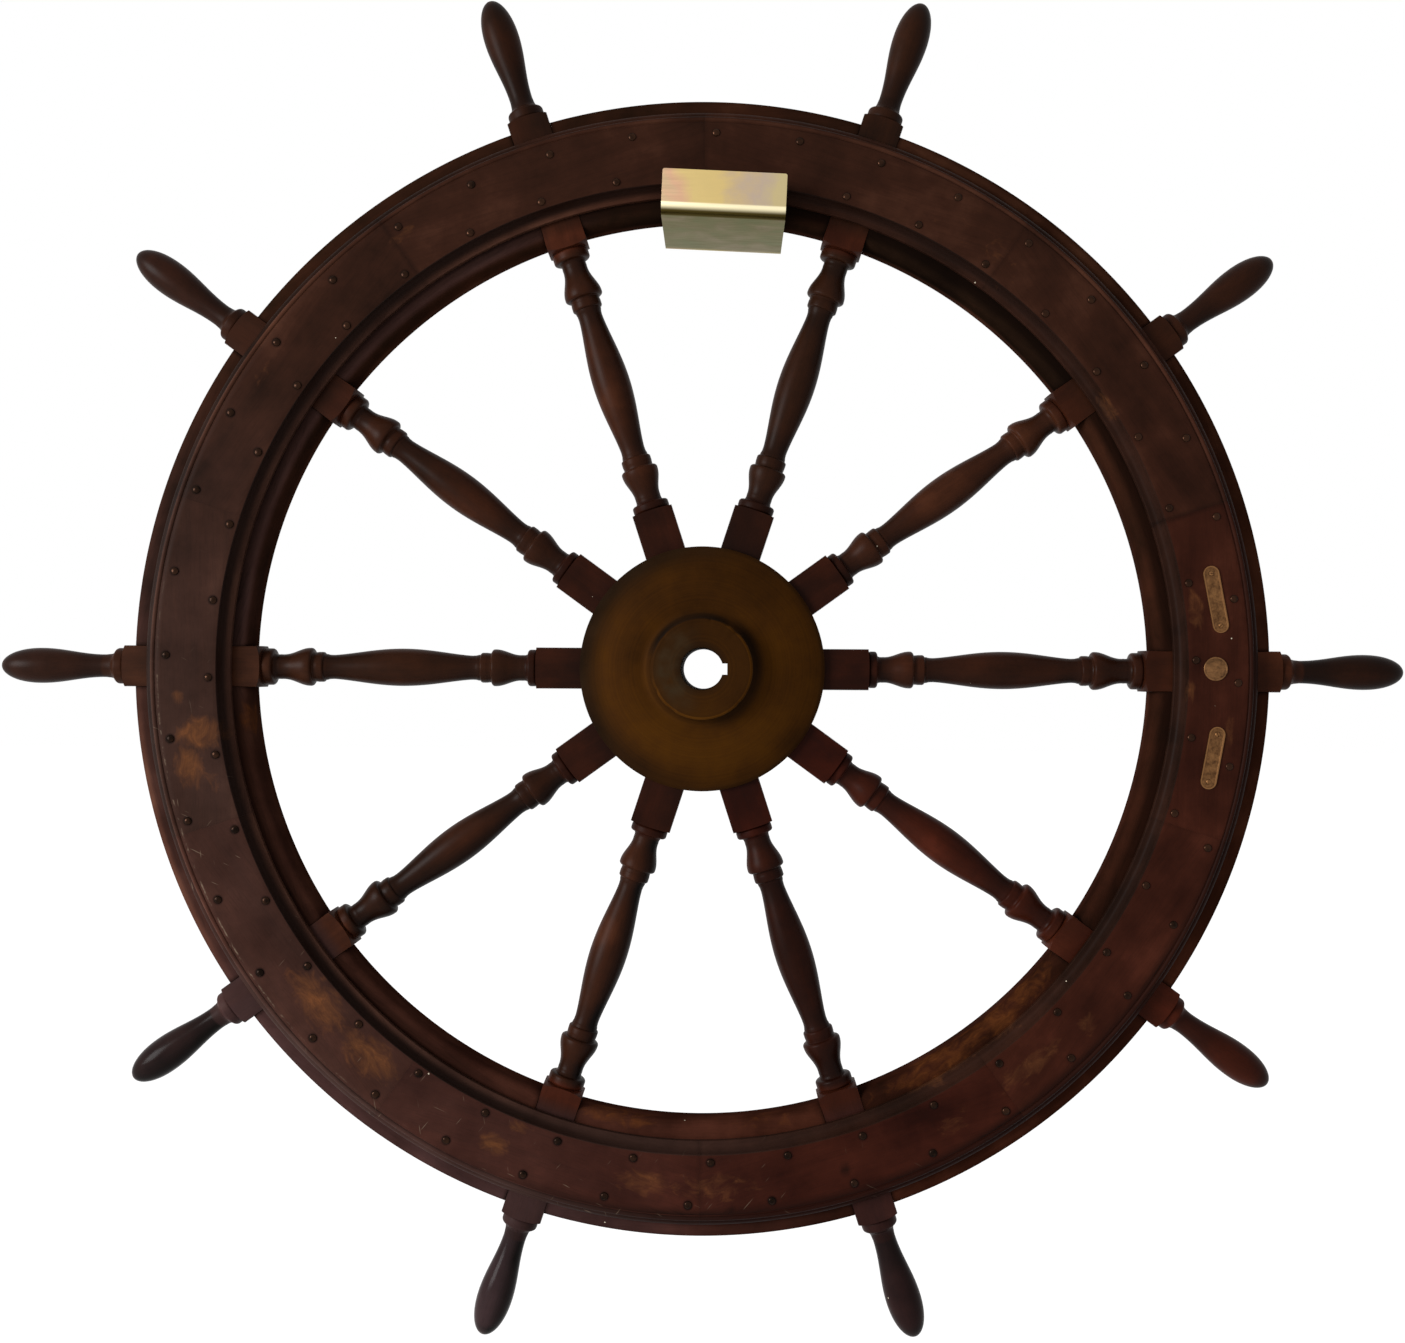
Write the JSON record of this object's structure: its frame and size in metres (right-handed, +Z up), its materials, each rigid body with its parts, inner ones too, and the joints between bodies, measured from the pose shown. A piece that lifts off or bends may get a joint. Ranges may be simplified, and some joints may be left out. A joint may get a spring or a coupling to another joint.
{
  "type": "ships wheel",
  "caption": "Large spoked ship's steering wheel of turned hardwood with a riveted felloe rim, keyed bronze hub and turned handles, hung on a bent steel wall hanger.",
  "frame": {"origin": "middle of the hub's shaft bore, in the plane of the spokes", "axes": "+Y along the bore towards the wall, so the wheel's front faces -Y; +Z up; +X towards the king spoke"},
  "size_m": [1.524, 0.1507, 1.4502],
  "materials": {
    "spoke_wood": "worn dark varnish",
    "felloe_wood": "worn dark varnish",
    "facing_wood": "worn dark varnish",
    "hub_bronze": "dull brown patina",
    "bolt_bronze": "dull brown patina",
    "rivet_copper": "blackened",
    "plate_brass": "rubbed and tarnished",
    "zinc_steel": "yellow zinc plating"
  },
  "bodies": {
    "hanger": {"hanger": "zinc_steel"},
    "wheel": {"spoke_1": "spoke_wood", "spoke_2": "spoke_wood", "spoke_3": "spoke_wood", "spoke_4": "spoke_wood", "spoke_5": "spoke_wood", "spoke_6": "spoke_wood", "spoke_7": "spoke_wood", "spoke_8": "spoke_wood", "spoke_9": "spoke_wood", "spoke_10": "spoke_wood", "felloe_1": "felloe_wood", "felloe_2": "felloe_wood", "felloe_3": "felloe_wood", "felloe_4": "felloe_wood", "felloe_5": "felloe_wood", "felloe_6": "felloe_wood", "felloe_7": "felloe_wood", "felloe_8": "felloe_wood", "felloe_9": "felloe_wood", "felloe_10": "felloe_wood", "front_facing_1": "facing_wood", "front_facing_2": "facing_wood", "front_facing_3": "facing_wood", "front_facing_4": "facing_wood", "front_facing_5": "facing_wood", "front_facing_6": "facing_wood", "front_facing_7": "facing_wood", "front_facing_8": "facing_wood", "front_facing_9": "facing_wood", "front_facing_10": "facing_wood", "back_facing_1": "facing_wood", "back_facing_2": "facing_wood", "back_facing_3": "facing_wood", "back_facing_4": "facing_wood", "back_facing_5": "facing_wood", "back_facing_6": "facing_wood", "back_facing_7": "facing_wood", "back_facing_8": "facing_wood", "back_facing_9": "facing_wood", "back_facing_10": "facing_wood", "hub_front": "hub_bronze", "hub_back": "hub_bronze", "nave_blocks": "felloe_wood", "hub_bolts": "bolt_bronze", "outer_rivets": "rivet_copper", "inner_rivets": "rivet_copper", "rivet_roves": "rivet_copper", "upper_plate": "plate_brass", "lower_plate": "plate_brass", "plate_screws": "plate_brass", "king_spoke_disc": "plate_brass"}
  },
  "joints": [
    {"name": "wheel_turn", "type": "hinge", "parent": "hanger", "child": "wheel", "pos_m": [0, 0, 0], "axis": [0, -1, 0], "range_deg": [-9.6, 4.7]}
  ]
}
